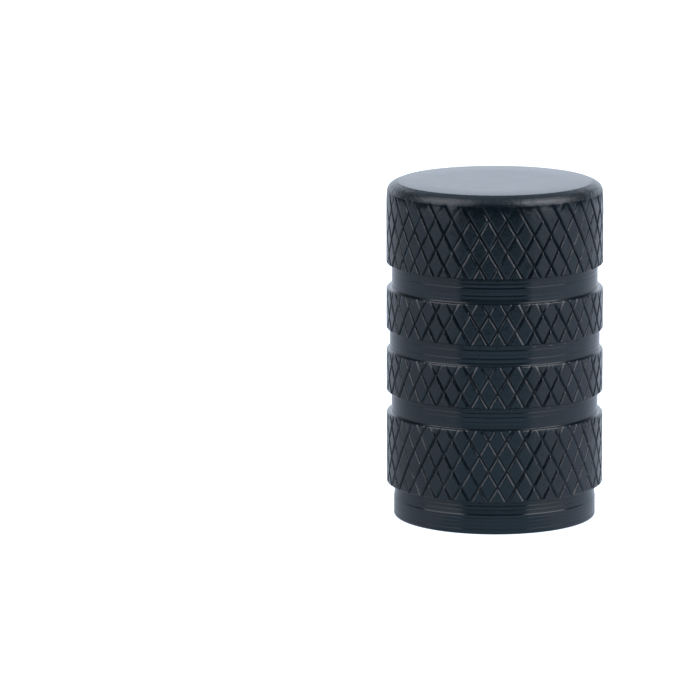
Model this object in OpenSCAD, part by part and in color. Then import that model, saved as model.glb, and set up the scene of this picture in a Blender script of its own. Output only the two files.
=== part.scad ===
// Knurled aluminium valve cap with a rubber sealing ring, mouth down.
// The origin is the centre of the mouth face and +Z points to the closed top.

/* [Overall] */
// Height from the mouth face to the top face
cap_h = 17.2; // [16:0.1:24]
// Diameter over the crests of the knurl
knurl_d = 11; // [10.6:0.1:16]

/* [Neck and turned grooves] */
// Height of the plain neck at the mouth
neck_h = 1.75; // [0.8:0.05:3]
// Depth of the neck below the knurl crests
neck_depth = 0.37; // [0.15:0.01:0.6]
// Rounding of the neck's outer edge at the mouth
neck_edge_r = 0.12; // [0.05:0.01:0.3]
// Height of the lowest groove
lower_groove_h = 1.1; // [0.8:0.05:2]
// Depth of the lowest groove below the knurl crests
lower_groove_depth = 0.26; // [0.15:0.01:0.6]
// Height of the middle groove
middle_groove_h = 1.05; // [0.8:0.05:2]
// Depth of the middle groove below the knurl crests
middle_groove_depth = 0.17; // [0.15:0.01:0.6]
// Height of the highest groove
upper_groove_h = 1.25; // [0.8:0.05:2.2]
// Depth of the highest groove below the knurl crests
upper_groove_depth = 0.28; // [0.15:0.01:0.6]

/* [Knurled bands] */
// Height of the lowest band
lower_band_h = 3.65; // [1.5:0.05:4.5]
// Height of the second band
second_band_h = 2.15; // [1:0.05:2.6]
// Height of the third band
third_band_h = 2.1; // [1:0.05:2.6]
// Bevel on the upper edges of these bands, as high as it is wide
band_bevel_w = 0.13; // [0.05:0.01:0.2]

/* [Knurl] */
// Distance between grooves, measured round the cap
knurl_pitch = 0.93; // [0.75:0.01:1.6]
// Angle between a groove and the axis
knurl_helix = 30.4; // [25:0.1:45]
// Depth of the grooves below the crests
knurl_depth = 0.09; // [0.05:0.01:0.16]
// Width of a groove at the crests
knurl_groove_w = 0.19; // [0.1:0.01:0.3]
// Turn of the pattern about the axis
knurl_turn = 4.1; // [0:0.1:9.7]
// Shift of the pattern along the axis
knurl_shift = 0.13; // [-0.8:0.01:0.8]
// Height over which the grooves run out below the crown
knurl_runout_h = 0.7; // [0.2:0.05:1.2]

/* [Crown] */
// Height of the plain crown above the knurl
crown_h = 0.5; // [0.42:0.02:1]
// Depth of the crown's wall below the knurl crests
crown_depth = 0.07; // [0.04:0.01:0.12]
// Width of the bevelled rim round the flat top, with its rounding
crown_rim_w = 0.55; // [0.3:0.01:0.9]
// Slope of the bevel
crown_bevel = 22; // [15:1:30]
// Rounding between the bevel and the wall
crown_edge_r = 0.22; // [0.1:0.01:0.25]

/* [Threaded bore] */
// Nominal diameter of the valve's thread
thread_d = 7.75; // [6:0.05:8.5]
// Pitch of the valve's thread
thread_pitch = 0.794; // [0.6:0.001:1]
// Diameter of the bevelled mouth at the face
mouth_d = 8.4; // [8:0.1:9.4]
// Thickness of the solid end above the seat
crown_t = 5; // [2:0.1:7]
// Height of the relief between the thread and the seat
relief_h = 2.4; // [2:0.1:4]
// Diameter of the relief
relief_d = 8; // [7.8:0.05:8.8]
// Diameter of the drilled centre in the seat
drill_d = 3.4; // [2:0.1:4]
// Point angle of the drill
drill_point = 118; // [90:1:140]

/* [Sealing ring] */
// Thickness of the ring
seal_t = 1.6; // [1:0.05:2]
// Inner diameter of the ring
seal_id = 4.2; // [3.6:0.1:5]
// Gap between the ring and the relief's wall
seal_clearance = 0.1; // [0.05:0.01:0.2]
// Rounding of the ring's edges
seal_edge_r = 0.3; // [0.1:0.05:0.45]

/* [Hidden] */
$fn = 128;

// Flat steps in a rounded corner
corner_steps = 6;
// Overshoot of a cut past the face that it opens
cut = 0.2;

// Radii of the turned outside
knurl_r = knurl_d / 2;
neck_r = knurl_r - neck_depth;
lower_groove_r = knurl_r - lower_groove_depth;
middle_groove_r = knurl_r - middle_groove_depth;
upper_groove_r = knurl_r - upper_groove_depth;
crown_r = knurl_r - crown_depth;

// Heights of the bands and the crown above the mouth face
lower_band_top = neck_h + lower_band_h;
second_band_z = lower_band_top + lower_groove_h;
second_band_top = second_band_z + second_band_h;
third_band_z = second_band_top + middle_groove_h;
third_band_top = third_band_z + third_band_h;
top_band_z = third_band_top + upper_groove_h;
crown_z = cap_h - crown_h;

// Knurl lattice: a row is one level of groove crossings, a place is one pitch round the cap
starts = round(PI * knurl_d / knurl_pitch);
place_w = PI * knurl_d / starts;
row_h = place_w / tan(knurl_helix) / 2;
valley_r = knurl_r - knurl_depth;
// Distance from a crossing to the crests beside it, in places, and above it, in millimetres
crest_side = knurl_groove_w / 2 / cos(knurl_helix) / place_w;
crest_rise = knurl_groove_w / 2 / sin(knurl_helix);
// Depth to which the run-out is sunk into the crown, down and inwards
runout_sink = 0.05;

// Bore, and the difference between the thread's outer and minor diameters in pitches
minor_pitches = 1.0825;
bore_r = (thread_d - minor_pitches * thread_pitch) / 2;
mouth_r = mouth_d / 2;
relief_r = relief_d / 2;
drill_r = drill_d / 2;
seat_z = cap_h - crown_t;
relief_z = seat_z - relief_h;

// Points along an arc of radius r about a centre, from one angle to another
function arc(centre, r, from, to) = [
    for (i = [0:corner_steps])
        let (a = from + (to - from) * i / corner_steps)
            [centre.x + r * cos(a), centre.y + r * sin(a)]
];

// Crossing of two grooves, or the crest beside it or above it
function lattice_point(row, place, r, side = 0, rise = 0) =
    let (
        whole = (place % starts + starts) % starts,
        a = knurl_turn + (whole + side) * 360 / starts
    )
    [r * cos(a), r * sin(a), knurl_shift + row * row_h + rise];

// The crest of one diamond and the four groove walls round it, as polygons
function diamond(row, i) =
    let (
        middle = i + (row + 1) / 2,
        left_x = lattice_point(row, middle - 1 / 2, valley_r),
        right_x = lattice_point(row, middle + 1 / 2, valley_r),
        low_x = lattice_point(row - 1, middle, valley_r),
        high_x = lattice_point(row + 1, middle, valley_r),
        left = lattice_point(row, middle - 1 / 2, knurl_r, side = crest_side),
        right = lattice_point(row, middle + 1 / 2, knurl_r, side = -crest_side),
        low = lattice_point(row - 1, middle, knurl_r, rise = crest_rise),
        high = lattice_point(row + 1, middle, knurl_r, rise = -crest_rise)
    )
    [
        [low, left, high],
        [low, high, right],
        [low_x, left_x, left, low],
        [left_x, high_x, high, left],
        [high_x, right_x, right, high],
        [right_x, low_x, low, right]
    ];

// Where the edge from p to q passes height z
function crossing(p, q, z) =
    let (
        low = p.z < q.z ? p : q,
        high = p.z < q.z ? q : p,
        t = (z - low.z) / (high.z - low.z)
    )
    [low.x + t * (high.x - low.x), low.y + t * (high.y - low.y), z];

// The part of a polygon above height z, or below it where side is -1
function clip(polygon, z, side) = [
    for (i = [0:1:len(polygon) - 1])
        let (
            p = polygon[i],
            q = polygon[(i + 1) % len(polygon)],
            p_in = side * (p.z - z),
            q_in = side * (q.z - z)
        )
            each concat(p_in >= 0 ? [p] : [], p_in * q_in < 0 ? [crossing(p, q, z)] : [])
];

// The edges of a polygon that lie at height z
function edges_at(polygon, z) = [
    for (i = [0:1:len(polygon) - 1])
        let (p = polygon[i], q = polygon[(i + 1) % len(polygon)])
            if (p.z == z && q.z == z) [q, p]
];

// A polygon as triangles from its first corner
function fan(polygon) = [
    for (i = [1:1:len(polygon) - 2])
        [polygon[0], polygon[i], polygon[i + 1]]
];

// A point moved straight up to height z and out or in to radius r
function moved_to(p, r, z) = [p.x * r / norm([p.x, p.y]), p.y * r / norm([p.x, p.y]), z];

// A solid disc between two heights whose rim is the diamond pattern, cut off square at the bottom.
// Above the pattern the rim runs straight to the radius at the top.
module knurled_disc(z_low, pattern_top, z_high, top_r) {
    first_row = floor((z_low - knurl_shift) / row_h);
    last_row = ceil((pattern_top - knurl_shift) / row_h);
    rim = [
        for (row = [first_row:last_row], i = [0:starts - 1])
            for (face = diamond(row, i))
                let (inside = clip(clip(face, z_low, 1), pattern_top, -1))
                    if (len(inside) > 2) inside
    ];
    low_edges = [for (face = rim) each edges_at(face, z_low)];
    slope = [
        for (face = rim)
            for (e = edges_at(face, pattern_top))
                [e[0], e[1], moved_to(e[1], top_r, z_high), moved_to(e[0], top_r, z_high)]
    ];
    triangles = concat(
        [for (face = concat(rim, slope)) each fan(face)],
        [for (e = low_edges) [e[0], e[1], [0, 0, z_low]]],
        [for (face = slope) [face[3], face[2], [0, 0, z_high]]]
    );
    polyhedron(
        points = [for (t = triangles) each t],
        faces = [for (i = [0:len(triangles) - 1]) [3 * i, 3 * i + 1, 3 * i + 2]]
    );
}

// A band below the crown, with its upper edge bevelled
module bevelled_band(z_low, z_high) {
    knurled_disc(z_low, z_high - band_bevel_w, z_high, knurl_r - band_bevel_w);
}

// The highest band, whose grooves fade into a plain rim that ends inside the crown
module top_band() {
    z_high = crown_z + runout_sink;
    knurled_disc(top_band_z, z_high - knurl_runout_h, z_high, crown_r - runout_sink);
}

// Outside of the turned blank: neck, grooves and crown. Its steps between grooves are inside the bands.
module blank() {
    edge_x = crown_r - crown_edge_r;
    bevel_w = crown_rim_w - crown_edge_r * (1 - sin(crown_bevel));
    bevel_drop = bevel_w * tan(crown_bevel);
    edge_z = cap_h - bevel_drop - crown_edge_r * cos(crown_bevel);
    rotate_extrude()
        polygon(concat(
            [[0, 0]],
            arc([neck_r - neck_edge_r, neck_edge_r], neck_edge_r, -90, 0),
            [
                [neck_r, neck_h + lower_band_h / 2],
                [lower_groove_r, neck_h + lower_band_h / 2],
                [lower_groove_r, second_band_z + second_band_h / 2],
                [middle_groove_r, second_band_z + second_band_h / 2],
                [middle_groove_r, third_band_z + third_band_h / 2],
                [upper_groove_r, third_band_z + third_band_h / 2],
                [upper_groove_r, crown_z],
                [crown_r, crown_z]
            ],
            arc([edge_x, edge_z], crown_edge_r, 0, 90 - crown_bevel),
            [
                [crown_r - crown_rim_w, cap_h],
                [0, cap_h]
            ]
        ));
}

// Space inside: bevelled mouth, bore at the thread's minor diameter, relief, flat seat and drilled centre
module bore() {
    rotate_extrude()
        polygon([
            [0, -cut],
            [mouth_r + cut, -cut],
            [bore_r, mouth_r - bore_r],
            [bore_r, relief_z],
            [relief_r, relief_z + relief_r - bore_r],
            [relief_r, seat_z],
            [drill_r, seat_z],
            [0, seat_z + drill_r / tan(drill_point / 2)]
        ]);
}

module cap_body() {
    color([0.16, 0.19, 0.22])
        difference() {
            union() {
                blank();
                bevelled_band(neck_h, lower_band_top);
                bevelled_band(second_band_z, second_band_top);
                bevelled_band(third_band_z, third_band_top);
                top_band();
            }
            bore();
        }
}

module seal_ring() {
    inner = seal_id / 2 + seal_edge_r;
    outer = relief_r - seal_clearance - seal_edge_r;
    low = seat_z - seal_t + seal_edge_r;
    high = seat_z - seal_edge_r;
    color([0.06, 0.06, 0.06])
        rotate_extrude()
            polygon(concat(
                arc([inner, low], seal_edge_r, 180, 270),
                arc([outer, low], seal_edge_r, 270, 360),
                arc([outer, high], seal_edge_r, 0, 90),
                arc([inner, high], seal_edge_r, 90, 180)
            ));
}

cap_body();
seal_ring();
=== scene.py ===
"""A knurled, black anodised tyre valve cap standing mouth down, with its rubber sealing ring."""
import math
import random

import bmesh
import bpy
from mathutils import Matrix, Vector, noise


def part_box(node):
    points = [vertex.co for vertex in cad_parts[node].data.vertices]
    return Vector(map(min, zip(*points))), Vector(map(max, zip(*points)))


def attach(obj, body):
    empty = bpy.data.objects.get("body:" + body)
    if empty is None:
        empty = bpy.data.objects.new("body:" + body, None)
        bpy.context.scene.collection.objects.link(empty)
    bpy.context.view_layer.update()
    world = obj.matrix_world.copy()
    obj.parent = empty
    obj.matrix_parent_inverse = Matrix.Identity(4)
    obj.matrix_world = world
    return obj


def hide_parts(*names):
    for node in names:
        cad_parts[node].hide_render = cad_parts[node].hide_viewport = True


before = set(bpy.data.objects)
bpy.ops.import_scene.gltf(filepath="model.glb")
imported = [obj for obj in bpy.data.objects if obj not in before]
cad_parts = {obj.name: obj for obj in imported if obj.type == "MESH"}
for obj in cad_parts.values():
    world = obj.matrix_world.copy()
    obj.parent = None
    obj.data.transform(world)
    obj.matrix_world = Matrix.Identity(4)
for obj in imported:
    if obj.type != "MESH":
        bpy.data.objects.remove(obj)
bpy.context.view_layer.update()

MM = 0.001
body_low, body_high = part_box("cap_body")
seal_low, seal_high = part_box("seal_ring")

# All lengths down to the stage's are in millimetres, and depths are taken from the knurl's radius or from a wall

# Turned outside, from the mouth to the crown
CAP_H = (body_high[2] - body_low[2]) / MM
KNURL_R = (body_high[0] - body_low[0]) / 2 / MM
NECK_H = 1.75
BAND_H = [3.65, 2.15, 2.1]
GROOVE_H = [1.1, 1.05, 1.25]
NECK_R = KNURL_R - 0.37
GROOVE_R = [KNURL_R - 0.26, KNURL_R - 0.17, KNURL_R - 0.28]
NECK_EDGE_R = 0.12
ROOT_FILLET = 0.03

# A band's lower edge, and its upper one: where its knurl ends, and (depth, drop) of the rings that round it
BAND_EDGE = 0.03
BAND_BEVEL = 0.07
BAND_ROUNDING = [(0.045, 0.028), (0.1, 0.0)]

# The neck has a small step, with (depth, rise) of its two rings, and leans in above it
NECK_STEP_Z = 0.98
NECK_STEP = [(0.012, 0.03), (0.017, 0.08)]
NECK_RELIEF_Z = 1.57
NECK_RELIEF = 0.07

# Scallops of the turned walls: feed of the tool, their depth and its spread, their strength on each wall, and the
# plain height above the neck's rounded edge
FEED = 0.21
SCALLOP = 0.013
SCALLOP_SPREAD = (0.35, 1.0)
NECK_SCALLOP = 1.1
GROOVE_SCALLOP = [1.3, 0.6, 1.1]
NECK_PLAIN_H = 0.1

# One scallop, as (share of the feed, share of the depth)
WAVE = [(0.0, 0.0), (0.25, 0.5), (0.5, 1.0), (0.75, 0.5)]

# Crown: its wall leans in, and then a rounding, a bevel that sags a little and a flat top follow
CROWN_R = KNURL_R - 0.035
CROWN_Z = CAP_H - 0.56
CROWN_LEAN_H = 0.3
CROWN_LEAN = 12
CROWN_EDGE_R = 0.46
CROWN_BEVEL = math.radians(22)
CROWN_RIM_W = 0.55
BEVEL_SAG = 0.012
TOP_EDGE_H = 0.004
TOP_EDGE_W = 0.04
TOP_RINGS = [3.2, 1.6, 0.4]

# Dents along the crown: depth, the heights from CROWN_Z between which they fade in up the knurl, the scales of their
# broad and fine noise as (across, up), and the share of the fine one
CROWN_DENT = 0.026
DENT_FADE = (-0.6, -0.1)
DENT_SCALES = [(2.0, 3.0), (5.0, 6.0)]
FINE_DENT = 0.5

# Knurl: starts round the cap, the lattice of groove crossings, how far the crests lie within KNURL_R, and the grooves
STARTS = 37
KNURL_HELIX = math.radians(30.4)
KNURL_TURN = math.radians(4.1)
KNURL_SHIFT = 0.13
KNURL_CREST = 0.01
KNURL_DEPTH = 0.058
KNURL_GROOVE_W = 0.26
KNURL_TOP = CROWN_Z + 0.06
ROW_H = math.pi * KNURL_R / STARTS / math.tan(KNURL_HELIX)

# Half of a knurl groove, as (share of the half width, share of the depth)
GROOVE_SHAPE = [(0.2, 0.88), (0.46, 0.32), (0.9, 0.0), (1.06, 0.0)]

# Grooves that slant down to the right are the deeper ones near the crown, and those that cross them near the mouth
SLANT_LEAD = 0.4
GROOVE_SPREAD = (0.8, 1.15)

# Where each family ends under the crown, the spread of that, and the height over which a groove runs out
SLANT_TOP = CROWN_Z + 0.1
SLANT_TOP_SPREAD = (-0.12, 0.05)
SLANT_RUNOUT = 0.15
CROSS_TOP = CROWN_Z - 0.35
CROSS_TOP_SPREAD = (-0.25, 0.25)
CROSS_RUNOUT = 0.55
BEVEL_RUNOUT = 0.12

# Wear of the grooves, and how far they waver sideways in radians: amount and scale of each noise, which are both
# stretched along the axis
WEAR, WEAR_SCALE = 0.3, 2.3
WAVER, WAVER_SCALE = 0.003, 0.9
NOISE_STRETCH = 0.2

# Bumps on the crests: amount and scale of each noise
BROAD_BUMP, BROAD_SCALE = 0.004, 1.1
FINE_BUMP, FINE_SCALE = 0.003, 3.7

# Inside
THREAD_PITCH = 0.794
THREAD_MINOR_R = (7.75 - 1.0825 * THREAD_PITCH) / 2
THREAD_MAJOR_R = 3.9
THREAD_FADE_H = 0.5
MOUTH_R = 4.2
MOUTH_EDGE = 0.03
SEAT_Z = seal_high[2] / MM
RELIEF_Z = SEAT_Z - 2.4
RELIEF_R = 4.0
DRILL_R = 1.7
DRILL_POINT = math.radians(59)
INNER_EDGE = 0.05

# One turn of the thread, as (share of the pitch, share of the depth)
THREAD_SHAPE = [(0.0, 0.0), (0.22, 0.0), (0.4, 0.55), (0.55, 1.0), (0.67, 1.0), (0.82, 0.5)]

# Sealing ring: width, rounding of its edges, and the mould line's height and half width
SEAL_W = 1.8
SEAL_EDGE_R = 0.3
MOULD_LINE_H = 0.02
MOULD_LINE_W = 0.03

# Steps round the turned walls, the inside and the sealing ring, and along a rounding
TURNED_STEPS = 224
INNER_STEPS = 96
SEAL_STEPS = 160
ARC_STEPS = 6

# Edges of the mesh that are steeper than this are shaded sharp
SHARP = math.radians(30)

# Material zones of the body
KNURL, TURNED, CROWN, TOP, BORE = range(5)

# Black anodised skin: the dark and the pale of its clouds, its index of refraction, the tint and the level of what
# it mirrors, and the lower level of painted shade in the bottom of a groove, at the mouth and at the top
DARK = (0.003, 0.007, 0.011)
PALE = (0.006, 0.012, 0.019)
SKIN_IOR = 1.62
MIRROR_TINT = (0.86, 0.93, 1.0, 1.0)
MIRROR_LEVEL = 0.5
GROOVE_SHADE_LEVELS = (0.25, 0.04)

# Noises of the skin: scales per millimetre, and how much the clouds and the specks change its roughness, the patches
# the reach of the painted shade in the grooves, and the fine lathe lines the coarse ones
CLOUD_SCALE, CLOUD_SHARE = 0.9, 0.6
SPECK_SCALE, SPECK_SHARE = 14.0, 0.4
SHADE_PATCH_SCALE, SHADE_PATCH_SHARE = 1.1, 4.5
COARSE_LINE_SCALE = 5.5
FINE_LINE_SCALE, FINE_LINE_SHARE = 21.0, 0.35
DIMPLE_SCALE = 3.5

# Colour of the floor and backdrop: white for the camera, and a little cool where the metal mirrors it
BACKDROP = (1.06, 1.18, 1.34, 1.0)

# Stage, in metres: half the floor's side, its colour and glow, how much lighter the right side is, as painted light
# where the metal mirrors the floor and as real light where it mirrors the studio, and the soft box, which faces the
# cap's middle
CAP_MIDDLE = Vector((0, 0, CAP_H / 2 * MM))
FLOOR_HALF = 3.0
FLOOR_COLOUR = (0.4, 0.4, 0.4, 1)
FLOOR_GLOW = 0.85
FLOOR_PAINTED_LEAN = 0.12
STUDIO_LEAN = 0.14
LAMP_PLACE = Vector((0.42, -0.28, 0.4))
LAMP_SIZE = 0.3
LAMP_WATTS = 0.4

# Camera, in metres, degrees and pixels: distance and height angle from the cap's middle, the column of the cap's
# axis in the picture, and the turn away from the cap
CAMERA_DISTANCE = 0.268
CAMERA_ELEVATION = math.radians(10.7)
FRAME_PX = 700
FOCAL_PX = 5272
SENSOR_W = 36.0
CAP_AXIS_PX = 494.6
CAMERA_YAW = math.degrees(math.atan((CAP_AXIS_PX - FRAME_PX / 2) / FOCAL_PX))
CAMERA_PITCH = -0.0287
CAMERA_ROLL = 0.1

dice = random.Random(11)


class Shell:
    """Points, faces and zones of one surface, in millimetres, built along a profile.

    The profile runs from the drilled centre down the bore, round the mouth and up the outside, so
    that every strip between two rings faces out of the material.
    """

    def __init__(self):
        self.points = []
        self.faces = []
        self.zones = []

    def face(self, corners, zone):
        self.faces.append(corners)
        self.zones.append(zone)

    def ring(self, angles, radii, z):
        """A closed ring of points; returns (angle, index) pairs in order of angle."""
        start = len(self.points)
        for a, r in zip(angles, radii):
            self.points.append((r * math.cos(a), r * math.sin(a), z))
        return [(a, start + i) for i, a in enumerate(angles)]

    def round_ring(self, angles, r, z):
        return self.ring(angles, [r] * len(angles), z)

    def strip(self, low, high, zone):
        """Quads between two rings with the same angles."""
        count = len(low)
        for i in range(count):
            j = (i + 1) % count
            self.face((low[i][1], low[j][1], high[j][1], high[i][1]), zone)

    def zipper(self, low, high, zone):
        """Triangles between two rings with different angles."""
        i = j = 0
        while i < len(low) or j < len(high):
            next_low = low[(i + 1) % len(low)][0] + (math.tau if i + 1 >= len(low) else 0)
            next_high = high[(j + 1) % len(high)][0] + (math.tau if j + 1 >= len(high) else 0)
            a, b = low[i % len(low)][1], high[j % len(high)][1]
            if i < len(low) and (j >= len(high) or next_low <= next_high):
                self.face((a, low[(i + 1) % len(low)][1], b), zone)
                i += 1
            else:
                self.face((a, high[(j + 1) % len(high)][1], b), zone)
                j += 1

    def sweep(self, ring, profile, zone):
        """Rings with the same angles at each (radius, height) of a profile; returns the last."""
        angles = [a for a, _ in ring]
        for r, z in profile:
            following = self.round_ring(angles, r, z)
            self.strip(ring, following, zone)
            ring = following
        return ring

    def cone_to(self, ring, z, zone, first=False):
        """Closes a ring with a point on the axis, which comes first or last along the profile."""
        self.points.append((0.0, 0.0, z))
        tip = len(self.points) - 1
        for i in range(len(ring)):
            a, b = ring[i][1], ring[(i + 1) % len(ring)][1]
            self.face((tip, b, a) if first else (a, b, tip), zone)

    def sheet(self, points, faces, z_low, z_high, zone, inward=False):
        """Adds a sleeve cut off square at two heights; returns its low and high edges as rings."""
        bm = bmesh.new()
        verts = [bm.verts.new(p) for p in points]
        for corners in faces:
            bm.faces.new([verts[i] for i in corners])
        for z, side in ((z_low, -1), (z_high, 1)):
            geometry = bm.verts[:] + bm.edges[:] + bm.faces[:]
            bmesh.ops.bisect_plane(
                bm, geom=geometry, dist=1e-6, plane_co=(0, 0, z), plane_no=(0, 0, side), clear_outer=True
            )
        start = len(self.points)
        bm.verts.index_update()
        self.points.extend(tuple(v.co) for v in bm.verts)
        for f in bm.faces:
            corners = [start + v.index for v in f.verts]
            self.face(corners[::-1] if inward else corners, zone)
        edges = []
        for z in (z_low, z_high):
            rim = [v for v in bm.verts if abs(v.co.z - z) < 1e-4 and v.is_boundary]
            edges.append(sorted((math.atan2(v.co.y, v.co.x) % math.tau, start + v.index) for v in rim))
        bm.free()
        return edges

    def radii(self, ring):
        return [math.hypot(self.points[i][0], self.points[i][1]) for _, i in ring]

    def to_object(self, name, materials):
        mesh = bpy.data.meshes.new(name)
        mesh.from_pydata([tuple(c * MM for c in p) for p in self.points], [], self.faces)
        for material in materials:
            mesh.materials.append(material)
        mesh.polygons.foreach_set("material_index", self.zones)
        mesh.validate()
        mesh.shade_smooth()
        mesh.set_sharp_from_angle(angle=SHARP)
        obj = bpy.data.objects.new(name, mesh)
        bpy.context.scene.collection.objects.link(obj)
        return obj


def even_angles(count):
    """Angles of evenly spaced points round the axis."""
    return [math.tau * i / count for i in range(count)]


def arc(cx, cy, r, start, end):
    """Profile points along an arc, from one angle to another in degrees."""
    turn = [math.radians(start + (end - start) * i / ARC_STEPS) for i in range(ARC_STEPS + 1)]
    return [(cx + r * math.cos(a), cy + r * math.sin(a)) for a in turn]


def turned_wall(r, z_low, z_high, strength):
    """Profile points of a turned wall: shallow, uneven waves, one for each turn of the feed."""
    count = round((z_high - z_low) / FEED)
    step = (z_high - z_low) / count
    wall = []
    for i in range(count):
        z = z_low + i * step
        depth = SCALLOP * strength * dice.uniform(*SCALLOP_SPREAD)
        wall += [(r - depth * share, z + step * t) for t, share in WAVE]
    return wall + [(r, z_high)]


def smooth_step(low, high, x):
    """0 below one limit, 1 above the other, and a smooth rise between them."""
    t = min(max((x - low) / (high - low), 0.0), 1.0)
    return t * t * (3 - 2 * t)


def groove_stops():
    """Places of the mesh lines across one pitch of a groove family, with the groove's depth there."""
    side = KNURL_GROOVE_W / 2 / math.cos(KNURL_HELIX) / (math.tau * KNURL_R / STARTS)
    half = [(place * side, depth) for place, depth in GROOVE_SHAPE]
    return [(0.0, 1.0)] + half + [(1 - place, depth) for place, depth in reversed(half)]


STOPS = groove_stops()
LINES = len(STOPS)
SLANT_DEPTH = [dice.uniform(*GROOVE_SPREAD) for _ in range(STARTS)]
CROSS_DEPTH = [dice.uniform(*GROOVE_SPREAD) for _ in range(STARTS)]
SLANT_END = [SLANT_TOP + dice.uniform(*SLANT_TOP_SPREAD) for _ in range(STARTS)]
CROSS_END = [CROSS_TOP + dice.uniform(*CROSS_TOP_SPREAD) for _ in range(STARTS)]


def unevenness(x, y, z):
    """Height of the small bumps that the rolling tool and the tumbling leave on the crests."""
    broad = noise.noise(Vector((x, y, z)) * BROAD_SCALE)
    fine = noise.noise(Vector((x, y, z)) * FINE_SCALE + Vector((9, 4, 2)))
    return BROAD_BUMP * broad + FINE_BUMP * fine


def crown_dent(x, y, z):
    """Height of the surface in the dents along the crown's edge, which is never above 0."""
    near = smooth_step(CROWN_Z + DENT_FADE[0], CROWN_Z + DENT_FADE[1], z)
    broad, fine = [noise.noise(Vector((x * across, y * across, z * up))) for across, up in DENT_SCALES]
    return -CROWN_DENT * near * abs(broad + FINE_DENT * fine)


def crown_wall(z):
    """Radius of the wall under the crown's rounding, which leans in more and more."""
    t = max(z - (CROWN_Z - CROWN_LEAN_H), 0.0) / CROWN_LEAN_H
    return KNURL_R - (KNURL_R - CROWN_R) * min(t, 1.0) ** 2


def groove_depth(line, z, lead, depths, ends, runout):
    """Depth at one mesh line of a groove family, as a share, which runs out at the groove's end."""
    place, shape = STOPS[line % LINES]
    number = round(line // LINES + place) % STARTS
    return lead * shape * depths[number] * (1 - smooth_step(-runout, 0, z - ends[number]))


def knurl_point(a, d, bevel_z):
    """One point of the knurl, from its line in the slanting family and its count of lines up from the crossing one.

    The grooves get shallower just below a band's bevel.
    """
    b = a - d
    p = a // LINES + STOPS[a % LINES][0]
    q = b // LINES + STOPS[b % LINES][0]
    angle = ((p + q) * math.pi) / STARTS + KNURL_TURN
    z = (p - q) * ROW_H + KNURL_SHIFT
    lead = SLANT_LEAD * (z / CAP_H - 0.5)
    slant = groove_depth(a, z, 1 + lead, SLANT_DEPTH, SLANT_END, SLANT_RUNOUT)
    cross = groove_depth(b, z, 1 - lead, CROSS_DEPTH, CROSS_END, CROSS_RUNOUT)
    at_bevel = 1 - smooth_step(bevel_z - BEVEL_RUNOUT, bevel_z, z)
    spot = Vector((math.cos(angle), math.sin(angle), z * NOISE_STRETCH)) * KNURL_R
    wear = 1 + WEAR * noise.noise(spot * WEAR_SCALE)
    r = crown_wall(z) - KNURL_CREST - KNURL_DEPTH * wear * at_bevel * max(slant, cross)
    angle += WAVER * noise.noise(spot * WAVER_SCALE)
    x, y = r * math.cos(angle), r * math.sin(angle)
    r += unevenness(x, y, z) + crown_dent(x, y, z)
    return (r * math.cos(angle), r * math.sin(angle), z)


def knurled_band(shell, z_low, z_high, bevel_z):
    """Adds the knurled surface between two heights; returns its low and high edges."""
    around = STARTS * LINES
    d_low = math.floor((z_low - KNURL_SHIFT) / ROW_H * LINES) - LINES
    d_high = math.ceil((z_high - KNURL_SHIFT) / ROW_H * LINES) + LINES
    rows = d_high - d_low + 1
    points = [knurl_point(a, d, bevel_z) for d in range(d_low, d_high + 1) for a in range(around)]

    def at(a, row):
        return row * around + a % around

    faces = [
        (at(a, row), at(a, row - 1), at(a + 1, row), at(a + 1, row + 1))
        for row in range(1, rows - 1)
        for a in range(around)
    ]
    return shell.sheet(points, faces, z_low, z_high, KNURL)


def thread_wall(shell, z_low, z_high):
    """Adds the internal right-hand thread between two heights; returns its low and high edges."""
    around = INNER_STEPS
    turns = range(math.floor(z_low / THREAD_PITCH) - 2, math.ceil(z_high / THREAD_PITCH) + 2)
    levels = [(turn + place, depth) for turn in turns for place, depth in THREAD_SHAPE]
    rows = len(levels)
    points = []
    for place, depth in levels:
        for i in range(around):
            z = (place + i / around) * THREAD_PITCH
            fade = smooth_step(z_low, z_low + THREAD_FADE_H, z) * (1 - smooth_step(z_high - THREAD_FADE_H, z_high, z))
            r = THREAD_MINOR_R + (THREAD_MAJOR_R - THREAD_MINOR_R) * depth * fade
            a = math.tau * i / around
            points.append((r * math.cos(a), r * math.sin(a), z))

    def at(i, row):
        """The point after a full turn is the first one a whole pitch higher."""
        return (row + len(THREAD_SHAPE) * (i // around)) * around + i % around

    faces = [
        (at(i, row), at(i + 1, row), at(i + 1, row + 1), at(i, row + 1))
        for row in range(rows - 1 - len(THREAD_SHAPE))
        for i in range(around)
    ]
    return shell.sheet(points, faces, z_low, z_high, BORE, inward=True)


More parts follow.
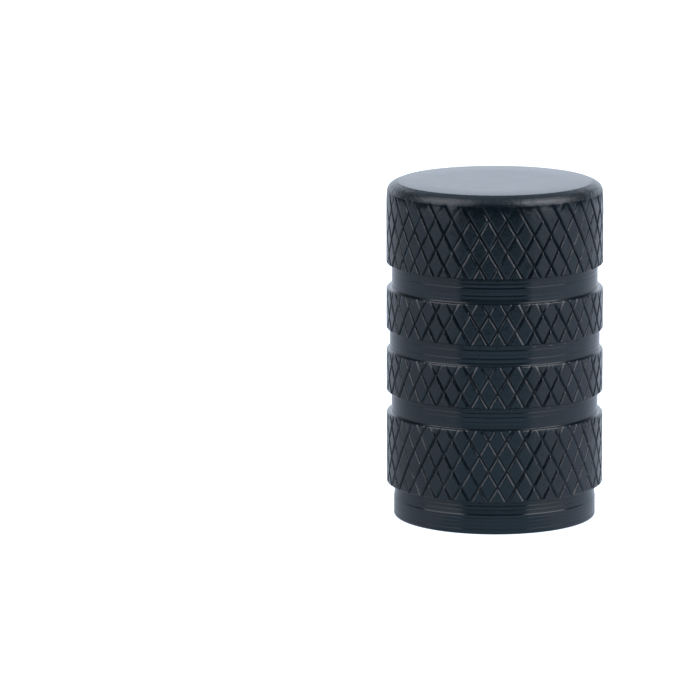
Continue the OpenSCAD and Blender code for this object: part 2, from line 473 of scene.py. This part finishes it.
def bore(shell):
    """Drilled centre, seat, relief, thread and mouth chamfer; returns the ring round the mouth."""
    tip_z = SEAT_Z + (DRILL_R - INNER_EDGE) / math.tan(DRILL_POINT)
    ring = shell.round_ring(even_angles(INNER_STEPS), INNER_EDGE, tip_z)
    shell.cone_to(ring, SEAT_Z + DRILL_R / math.tan(DRILL_POINT), BORE, first=True)
    relief = [
        (DRILL_R, SEAT_Z),
        (RELIEF_R - INNER_EDGE, SEAT_Z),
        (RELIEF_R, SEAT_Z - INNER_EDGE),
        (RELIEF_R, RELIEF_Z + RELIEF_R - THREAD_MINOR_R),
        (THREAD_MINOR_R, RELIEF_Z),
        (THREAD_MINOR_R, RELIEF_Z - INNER_EDGE),
    ]
    ring = shell.sweep(ring, relief, BORE)
    chamfer_z = MOUTH_R - THREAD_MINOR_R
    thread_low, thread_high = thread_wall(shell, chamfer_z + INNER_EDGE, RELIEF_Z - 2 * INNER_EDGE)
    shell.zipper(ring, thread_high, BORE)
    ring = shell.sweep(thread_low, [(THREAD_MINOR_R, chamfer_z)], BORE)
    mouth = shell.round_ring(even_angles(TURNED_STEPS), MOUTH_R, 0.0)
    shell.zipper(ring, mouth, BORE)
    return mouth


def neck(shell, ring):
    """Mouth face, rounded edge, wall, step and relief; returns the ring at its top."""
    edge = arc(NECK_R - NECK_EDGE_R, NECK_EDGE_R, NECK_EDGE_R, -90, 0)
    wall = turned_wall(NECK_R, NECK_EDGE_R + NECK_PLAIN_H, NECK_STEP_Z, NECK_SCALLOP)
    step = [(NECK_R - depth, NECK_STEP_Z + rise) for depth, rise in NECK_STEP]
    relief_r = NECK_R - NECK_RELIEF
    relief = [(relief_r, NECK_RELIEF_Z), (relief_r, NECK_H - 4 * ROOT_FILLET)]
    return shell.sweep(ring, [(MOUTH_R + MOUTH_EDGE, 0.0), *edge, *wall, *step, *relief], TURNED)


def band(shell, ring, root_r, z, z_high, bevel_z):
    """Fillet and lower face of a knurled band, and its knurl; returns the knurl's upper edge."""
    low, high = knurled_band(shell, z + BAND_EDGE, z_high, bevel_z)
    angles = [a for a, _ in low]
    foot = shell.round_ring(angles, root_r, z - 3 * ROOT_FILLET)
    shell.zipper(ring, foot, TURNED)
    ring = shell.sweep(foot, [(root_r, z - ROOT_FILLET), (root_r + ROOT_FILLET, z)], TURNED)
    lip = shell.ring(angles, [r - BAND_EDGE for r in shell.radii(low)], z)
    shell.strip(ring, lip, TURNED)
    shell.strip(lip, low, KNURL)
    return high


def groove(shell, ring, r, z, height, strength):
    """Rounded upper edge of the band below, and the groove's floor; returns the ring at its top."""
    shoulder = [(KNURL_R - depth, z - drop) for depth, drop in BAND_ROUNDING]
    ring = shell.sweep(ring, [*shoulder, (r + ROOT_FILLET, z), (r, z + ROOT_FILLET)], TURNED)
    wall_low, wall_high = z + 3 * ROOT_FILLET, z + height - 4 * ROOT_FILLET
    foot = shell.round_ring(even_angles(TURNED_STEPS), r, wall_low)
    shell.zipper(ring, foot, TURNED)
    return shell.sweep(foot, turned_wall(r, wall_low, wall_high, strength)[1:], TURNED)


def crown(shell, ring):
    """Dented rounding, bevel and flat top."""
    edge_x = CROWN_R - CROWN_EDGE_R
    bevel_w = CROWN_RIM_W - CROWN_EDGE_R * (1 - math.sin(CROWN_BEVEL))
    edge_z = CAP_H - bevel_w * math.tan(CROWN_BEVEL) - CROWN_EDGE_R * math.cos(CROWN_BEVEL)
    rounding = arc(edge_x, edge_z, CROWN_EDGE_R, CROWN_LEAN, 90 - math.degrees(CROWN_BEVEL))
    angles = even_angles(TURNED_STEPS)
    for i, (r, z) in enumerate(rounding):
        dents = [crown_dent(r * math.cos(a), r * math.sin(a), z) for a in angles]
        following = shell.ring(angles, [r + dent for dent in dents], z)
        if i:
            shell.strip(ring, following, CROWN)
        else:
            shell.zipper(ring, following, CROWN)
        ring = following
    flat_r = CROWN_R - CROWN_RIM_W
    rim_x, rim_z = rounding[-1]
    bevel = [
        (rim_x + (flat_r - rim_x) * t, rim_z + (CAP_H - rim_z) * t - BEVEL_SAG * t * (1 - t))
        for t in (0.1, 0.5, 0.9)
    ]
    ring = shell.sweep(ring, [*bevel, (flat_r, CAP_H - TOP_EDGE_H)], CROWN)
    ring = shell.sweep(ring, [(r, CAP_H) for r in (flat_r - TOP_EDGE_W, *TOP_RINGS)], TOP)
    shell.cone_to(ring, CAP_H, TOP)


def build_body(materials):
    """The whole cap as one closed mesh."""
    shell = Shell()
    ring = neck(shell, bore(shell))
    root_r = NECK_R - NECK_RELIEF
    z = NECK_H
    for band_h, groove_h, groove_r, strength in zip(BAND_H, GROOVE_H, GROOVE_R, GROOVE_SCALLOP):
        top = z + band_h
        bevel_z = top - BAND_BEVEL
        ring = band(shell, ring, root_r, z, bevel_z, bevel_z)
        ring = groove(shell, ring, groove_r, top, groove_h, strength)
        root_r = groove_r
        z = top + groove_h
    ring = band(shell, ring, root_r, z, KNURL_TOP, CAP_H)
    crown(shell, ring)
    return shell.to_object("valve_cap_body", materials)


def build_seal(material):
    """The rubber ring, with rounded edges and a fine mould line round its wall."""
    shell = Shell()
    outer = (seal_high[0] - seal_low[0]) / 2 / MM
    inner = outer - SEAL_W
    low, high = seal_low[2] / MM, seal_high[2] / MM
    middle = (low + high) / 2
    edge = SEAL_EDGE_R
    profile = [
        *arc(inner + edge, low + edge, edge, 180, 270),
        *arc(outer - edge, low + edge, edge, 270, 360),
        (outer - MOULD_LINE_H, middle - MOULD_LINE_W),
        (outer, middle),
        (outer - MOULD_LINE_H, middle + MOULD_LINE_W),
        *arc(outer - edge, high - edge, edge, 0, 90),
        *arc(inner + edge, high - edge, edge, 90, 180),
    ]
    first = shell.round_ring(even_angles(SEAL_STEPS), *profile[0])
    last = shell.sweep(first, profile[1:], 0)
    shell.strip(last, first, 0)
    return shell.to_object("rubber_seal_ring", [material])


class Nodes:
    """Short calls for building one node tree."""

    def __init__(self, tree):
        self.tree = tree
        tree.nodes.clear()

    def add(self, kind, inputs=None, **settings):
        node = self.tree.nodes.new(kind)
        for key, value in settings.items():
            setattr(node, key, value)
        for key, value in (inputs or {}).items():
            if isinstance(value, bpy.types.NodeSocket):
                self.tree.links.new(value, node.inputs[key])
            else:
                node.inputs[key].default_value = value
        return node

    def math(self, operation, a, b=0.0, clamp=False):
        node = self.add("ShaderNodeMath", {0: a, 1: b}, operation=operation, use_clamp=clamp)
        return node.outputs[0]

    def ramp(self, factor, stops, interpolation="LINEAR"):
        """A colour ramp from (place, colour) pairs."""
        node = self.add("ShaderNodeValToRGB", {0: factor})
        node.color_ramp.interpolation = interpolation
        elements = node.color_ramp.elements
        while len(elements) < len(stops):
            elements.new(0.5)
        for element, (place, colour) in zip(elements, stops):
            element.position = place
            element.color = (*colour, 1) if isinstance(colour, tuple) else (colour, colour, colour, 1)
        return node.outputs[0]

    def levels(self, factor, tint, stops):
        """A tinted light level from (place, level) pairs."""
        return self.ramp(factor, [(place, tuple(level * c for c in tint)) for place, level in stops])

    def blend(self, factor, low, high):
        """One colour or another, by a factor from 0 to 1."""
        return self.add("ShaderNodeMix", {0: factor, 6: low, 7: high}, data_type="RGBA").outputs[2]

    def spread(self, value, low, high):
        """A 0 to 1 value as a value between two limits."""
        node = self.add("ShaderNodeMapRange", {0: value, 3: low, 4: high})
        return node.outputs[0]

    def noise(self, vector, scale, detail=3.0, roughness=0.5):
        inputs = {"Vector": vector, "Scale": scale, "Detail": detail, "Roughness": roughness}
        return self.add("ShaderNodeTexNoise", inputs).outputs[0]

    def noise_along(self, value, scale, detail):
        """Noise along one measure, such as a height."""
        inputs = {"W": value, "Scale": scale, "Detail": detail}
        return self.add("ShaderNodeTexNoise", inputs, noise_dimensions="1D").outputs[0]


def new_material(name):
    """A material, and the short calls for its node tree."""
    material = bpy.data.materials.new(name)
    material.use_nodes = True
    return material, Nodes(material.node_tree)


def anodised(name, rough, grain, dents=0.0, lathe=0.0, rings=False, painted_groove_shade=None):
    """Black anodised aluminium, by the limits of its roughness and the heights of its bumps in millimetres.

    Lathe lines run round the axis, or are rings on a face across it. The painted groove shade is two radii in
    millimetres: the metal mirrors least within the first and fully past the second, with cloudy limits, so that
    shade is painted into the grooves and dents, darker towards the top.
    """
    material, n = new_material(name)
    place = n.add("ShaderNodeTexCoord").outputs["Object"]
    mm = n.add("ShaderNodeVectorMath", {0: place, 1: (1000, 1000, 1000)}, operation="MULTIPLY").outputs[0]
    cloud = n.noise(mm, CLOUD_SCALE, detail=6.0, roughness=0.75)
    speck = n.noise(mm, SPECK_SCALE, detail=2.0, roughness=0.7)
    colour = n.ramp(cloud, [(0.3, DARK), (0.7, PALE)])
    mottle = n.math("ADD", n.math("MULTIPLY", cloud, CLOUD_SHARE), n.math("MULTIPLY", speck, SPECK_SHARE))
    roughness = n.spread(mottle, *rough)
    parts = n.add("ShaderNodeSeparateXYZ", {0: mm})
    flat = n.add("ShaderNodeCombineXYZ", {0: parts.outputs[0], 1: parts.outputs[1]}).outputs[0]
    radius = n.add("ShaderNodeVectorMath", {0: flat}, operation="LENGTH").outputs["Value"]
    mirroring_and_painted_shade = MIRROR_LEVEL
    # Painted shade: deep in grooves and dents the metal mirrors less, so they look darker than the light alone makes
    # them
    if painted_groove_shade:
        deep, open_r = painted_groove_shade
        share = n.math("DIVIDE", n.math("SUBTRACT", radius, deep), open_r - deep)
        patch = n.noise(mm, SHADE_PATCH_SCALE, roughness=0.6)
        shade_patches = n.math("MULTIPLY", n.math("SUBTRACT", patch, 0.5), SHADE_PATCH_SHARE)
        painted_shade_level = n.spread(n.math("DIVIDE", parts.outputs[2], CAP_H), *GROOVE_SHADE_LEVELS)
        mirroring_and_painted_shade = n.spread(n.math("ADD", share, shade_patches, clamp=True), painted_shade_level, MIRROR_LEVEL)
    height = n.math("MULTIPLY", speck, grain)
    if dents:
        dimple = n.noise(mm, DIMPLE_SCALE, detail=4.0, roughness=0.65)
        height = n.math("ADD", height, n.math("MULTIPLY", dimple, dents))
    if lathe:
        along = radius if rings else parts.outputs[2]
        coarse = n.noise_along(along, COARSE_LINE_SCALE, 1.0)
        fine = n.noise_along(along, FINE_LINE_SCALE, 2.0)
        lines = n.math("ADD", coarse, n.math("MULTIPLY", fine, FINE_LINE_SHARE))
        height = n.math("ADD", height, n.math("MULTIPLY", lines, lathe))
    bump = n.add("ShaderNodeBump", {"Height": height, "Strength": 1.0, "Distance": MM})
    shader = n.add("ShaderNodeBsdfPrincipled", {
        "Base Color": colour, "Roughness": roughness, "IOR": SKIN_IOR, "Normal": bump.outputs[0],
        "Specular IOR Level": mirroring_and_painted_shade, "Specular Tint": MIRROR_TINT,
    })
    n.add("ShaderNodeOutputMaterial", {"Surface": shader.outputs[0]})
    return material


def seal_rubber():
    """Matt black rubber with a faint bloom."""
    material, n = new_material("seal_rubber")
    place = n.add("ShaderNodeTexCoord").outputs["Object"]
    grit = n.noise(place, 6000.0, roughness=0.6)
    bloom = n.noise(place, 700.0, detail=2.0)
    colour = n.ramp(bloom, [(0.3, (0.012, 0.012, 0.013)), (0.7, (0.022, 0.022, 0.023))])
    bump = n.add("ShaderNodeBump", {"Height": grit, "Strength": 0.6, "Distance": 0.00002})
    shader = n.add("ShaderNodeBsdfPrincipled", {
        "Base Color": colour, "Roughness": n.spread(grit, 0.55, 0.8), "Normal": bump.outputs[0],
    })
    n.add("ShaderNodeOutputMaterial", {"Surface": shader.outputs[0]})
    return material


def seen_by(n):
    """Which rays meet a stage material or the world: camera, glossy and transmission."""
    path = n.add("ShaderNodeLightPath").outputs
    return path["Is Camera Ray"], path["Is Glossy Ray"], path["Is Transmission Ray"]


def build_floor():
    """A pale floor that the camera sees as white, with the object's soft shadow kept.

    The metal mirrors it too, as a glowing image with painted light and shade: pale towards the backdrop, dimmer in
    front, black from about 0.12 m out, and lighter to the right.
    """
    half = FLOOR_HALF
    mesh = bpy.data.meshes.new("floor")
    corners = [(-half, -half, 0), (half, -half, 0), (half, half, 0), (-half, half, 0)]
    mesh.from_pydata(corners, [], [(0, 1, 2, 3)])
    floor = bpy.data.objects.new("floor", mesh)
    bpy.context.scene.collection.objects.link(floor)
    material, n = new_material("floor_white")
    camera, mirrored, through = seen_by(n)
    pale = n.add("ShaderNodeBsdfDiffuse", {"Color": FLOOR_COLOUR})
    shown = n.math("MAXIMUM", camera, through)
    glow = n.add("ShaderNodeEmission", {"Color": BACKDROP, "Strength": n.math("MULTIPLY", shown, FLOOR_GLOW)})
    lit = n.add("ShaderNodeAddShader", {0: pale.outputs[0], 1: glow.outputs[0]})

    # Painted light and shade of the floor where the metal mirrors it, by direction and distance from the cap
    place = n.add("ShaderNodeTexCoord").outputs["Object"]
    distance = n.add("ShaderNodeVectorMath", {0: place}, operation="LENGTH").outputs["Value"]
    x, y, _ = n.add("ShaderNodeSeparateXYZ", {0: place}).outputs
    towards_back = n.math("MULTIPLY", n.math("ADD", n.math("DIVIDE", y, distance), 1.0), 0.5)
    painted_floor_image = n.ramp(towards_back, [
        (0.0, (0.34, 0.45, 0.54)), (0.1, (0.34, 0.45, 0.54)), (0.13, (0.52, 0.57, 0.67)), (0.4, (0.5, 0.56, 0.66)),
        (0.67, (0.46, 0.53, 0.62)), (0.88, (0.6, 0.67, 0.79)), (1.0, (0.68, 0.75, 0.88)),
    ])
    painted_front_shade = n.ramp(towards_back, [(0.09, 1.0), (0.13, 0.0)])
    far = n.ramp(n.math("MULTIPLY", distance, 5.0), [(0.35, 0.0), (0.46, 0.25), (0.58, 1.0)])
    painted_floor_image = n.blend(n.math("MULTIPLY", far, painted_front_shade), painted_floor_image, (0, 0, 0, 1))
    # Painted light: the floor's image in the metal is lighter to the right
    painted_lean = n.math("MULTIPLY", n.math("DIVIDE", x, distance), FLOOR_PAINTED_LEAN)
    painted_image_glow = n.add("ShaderNodeEmission", {"Color": painted_floor_image, "Strength": n.math("ADD", painted_lean, 1.0)})
    surface = n.add("ShaderNodeMixShader", {0: mirrored, 1: lit.outputs[0], 2: painted_image_glow.outputs[0]})
    n.add("ShaderNodeOutputMaterial", {"Surface": surface.outputs[0]})
    mesh.materials.append(material)


def build_world():
    """A studio round the cap: white backdrop, a soft box at each side, and dim behind the camera.

    The camera sees the backdrop on every side, and the metal mirrors it where it stands behind the cap.
    """
    world = bpy.data.worlds.new("studio")
    world.use_nodes = True
    bpy.context.scene.world = world
    n = Nodes(world.node_tree)
    direction = n.add("ShaderNodeTexCoord").outputs["Generated"]
    x, y, z = n.add("ShaderNodeSeparateXYZ", {0: direction}).outputs
    sideways = n.math("ABSOLUTE", x)

    # Levels of light by height above the horizon
    back = n.levels(z, (0.84, 0.93, 1.06), [(0.0, 1.15), (0.26, 1.1), (0.36, 0.42), (1.0, 0.42)])
    front = n.levels(z, (0.82, 1.0, 1.16), [
        (0.0, 0.04), (0.1, 0.02), (0.4, 0.03), (0.6, 0.1), (0.8, 0.32), (1.0, 0.34),
    ])
    boxes = n.levels(z, (1.0, 0.97, 0.98), [(0.0, 1.2), (0.05, 1.4), (0.15, 2.1), (0.4, 2.3)])
    backdrop_top = n.ramp(z, [(0.26, 1.0), (0.36, 0.0)])

    # The soft boxes reach in over the cap, so that their edges come closer together overhead
    box_edge = n.math("ADD", sideways, n.math("MULTIPLY", z, 0.33))
    in_box = n.ramp(box_edge, [(0.6, 0.0), (0.65, 1.0)], "EASE")
    box_end = n.math("ADD", n.math("SUBTRACT", y, n.math("MULTIPLY", z, 0.4)), 1.0)
    before_end = n.ramp(n.math("MULTIPLY", box_end, 0.5), [(0.43, 1.0), (0.48, 0.0)], "EASE")
    in_box = n.math("MULTIPLY", in_box, before_end)
    in_back = n.ramp(n.math("MULTIPLY", n.math("ADD", y, 1.0), 0.5), [(0.7, 0.0), (0.97, 1.0)], "EASE")
    tent = n.blend(in_back, n.blend(in_box, front, boxes), back)
    strength = n.math("ADD", n.math("MULTIPLY", x, STUDIO_LEAN), 1.0)
    camera, mirrored, through = seen_by(n)
    backdrop = n.math("MULTIPLY", mirrored, n.math("MULTIPLY", in_back, backdrop_top))
    shown = n.math("MAXIMUM", n.math("MAXIMUM", camera, through), backdrop)
    lit = n.add("ShaderNodeBackground", {"Color": tent, "Strength": strength})
    white = n.add("ShaderNodeBackground", {"Color": BACKDROP})
    background = n.add("ShaderNodeMixShader", {0: shown, 1: lit.outputs[0], 2: white.outputs[0]})
    n.add("ShaderNodeOutputWorld", {"Surface": background.outputs[0]})


def build_lamp():
    """A square soft box to the right of the camera."""
    data = bpy.data.lights.new("soft_box_right", "AREA")
    data.shape = "SQUARE"
    data.size = LAMP_SIZE
    data.energy = LAMP_WATTS
    lamp = bpy.data.objects.new("soft_box_right", data)
    bpy.context.scene.collection.objects.link(lamp)
    lamp.location = LAMP_PLACE
    lamp.rotation_mode = "QUATERNION"
    lamp.rotation_quaternion = (CAP_MIDDLE - LAMP_PLACE).to_track_quat("-Z", "Y")


def build_camera():
    """The photo's camera: a long lens, a little above the cap's middle."""
    data = bpy.data.cameras.new("camera")
    data.sensor_width = SENSOR_W
    data.lens = SENSOR_W * FOCAL_PX / FRAME_PX
    data.clip_start = 0.01
    data.clip_end = 20
    camera = bpy.data.objects.new("camera", data)
    bpy.context.scene.collection.objects.link(camera)
    back = Vector((0, -math.cos(CAMERA_ELEVATION), math.sin(CAMERA_ELEVATION)))
    camera.location = CAP_MIDDLE + back * CAMERA_DISTANCE
    camera.rotation_mode = "QUATERNION"
    facing = (-back).to_track_quat("-Z", "Y").to_matrix()
    for angle, axis in ((CAMERA_YAW, "Y"), (CAMERA_PITCH, "X"), (CAMERA_ROLL, "Z")):
        facing = facing @ Matrix.Rotation(math.radians(angle), 3, axis)
    camera.rotation_quaternion = facing.to_quaternion()
    bpy.context.scene.camera = camera


body = build_body([
    # The knurl gets painted shade deep in its grooves and dents
    anodised("anodised_knurl", (0.12, 0.2), 0.004, dents=0.016, painted_groove_shade=(KNURL_R - 0.05, KNURL_R - 0.028)),
    anodised("anodised_turned", (0.09, 0.16), 0.0008, lathe=0.009),
    anodised("anodised_crown", (0.16, 0.28), 0.005, dents=0.03, lathe=0.013),
    anodised("anodised_top", (0.17, 0.26), 0.0008, lathe=0.001, rings=True),
    anodised("anodised_bore", (0.3, 0.45), 0.002),
])
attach(body, "root")
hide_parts("cap_body")

seal = build_seal(seal_rubber())
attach(seal, "root")
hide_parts("seal_ring")

build_floor()
build_world()
build_lamp()
build_camera()

bpy.context.scene.view_settings.view_transform = "Standard"
